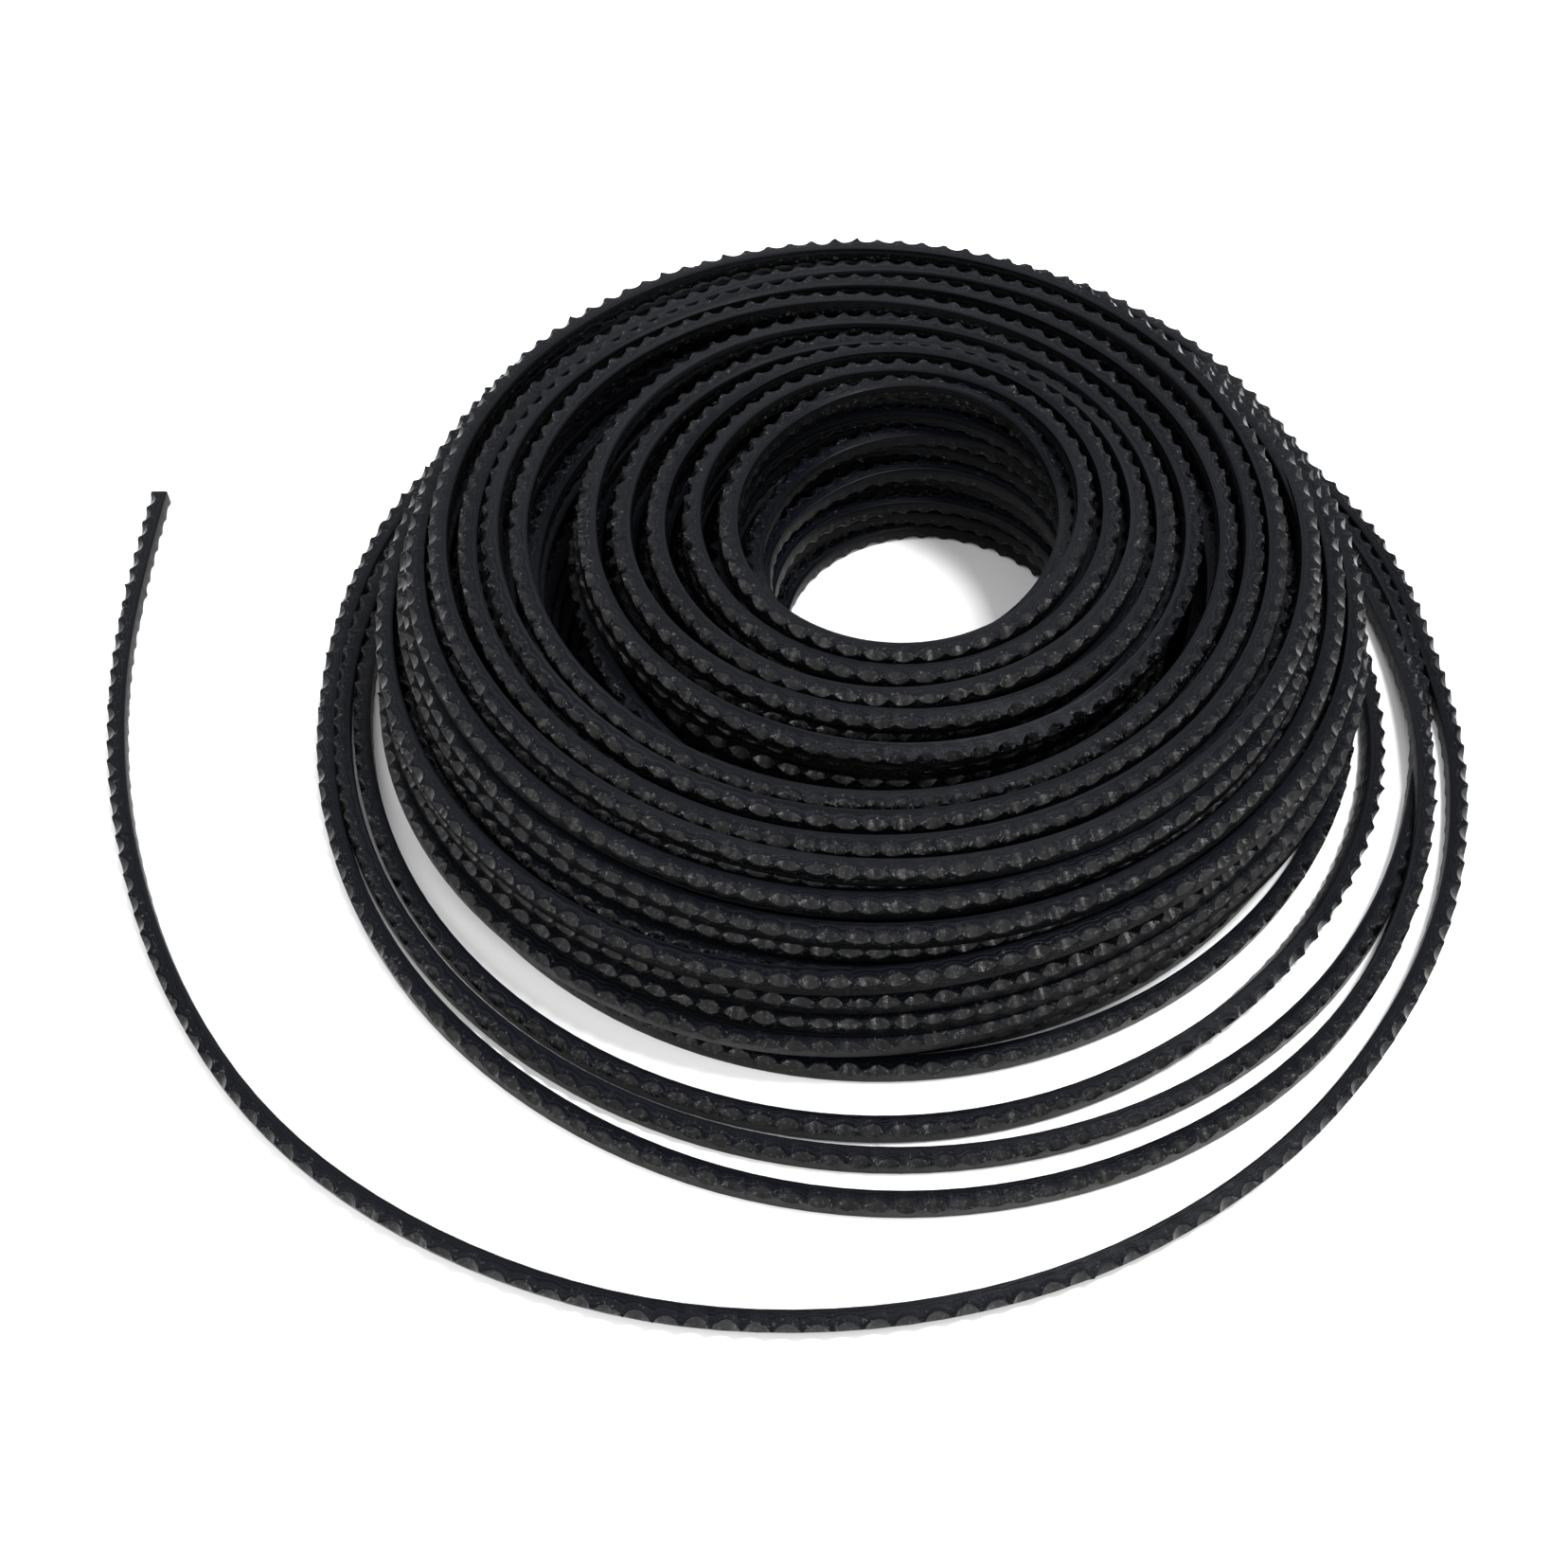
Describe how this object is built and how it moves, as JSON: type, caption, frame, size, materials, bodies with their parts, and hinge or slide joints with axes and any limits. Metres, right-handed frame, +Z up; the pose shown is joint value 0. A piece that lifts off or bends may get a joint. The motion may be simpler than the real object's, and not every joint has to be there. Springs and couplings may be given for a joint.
{
  "type": "v belt coil",
  "caption": "Loose round coil of square, corner-notched drive belting sold by length, lying flat with one free end beside it.",
  "frame": {"origin": "bottom centre of the whole coil's box, tail included", "axes": "+Z up along the winding axis, -Y towards the side where the loose turns spread furthest, -X towards the free end"},
  "size_m": [0.2802, 0.2594, 0.0416],
  "materials": {
    "belt": "satin black extruded plastic, fine lines along its length"
  },
  "bodies": {
    "root": {"inner_layer_01": "belt", "inner_layer_02": "belt", "inner_layer_03": "belt", "inner_layer_04": "belt", "inner_layer_05": "belt", "inner_layer_06": "belt", "inner_layer_07": "belt", "inner_layer_08": "belt", "inner_layer_09": "belt", "inner_layer_10": "belt", "outer_layer_01": "belt", "outer_layer_02": "belt", "outer_layer_03": "belt", "outer_layer_04": "belt", "outer_layer_05": "belt", "outer_layer_06": "belt", "outer_layer_07": "belt", "outer_layer_08": "belt", "outer_layer_09": "belt", "outer_layer_10": "belt", "loose_turn_1": "belt", "loose_turn_2": "belt", "loose_turn_3": "belt", "free_tail": "belt"}
  },
  "joints": []
}
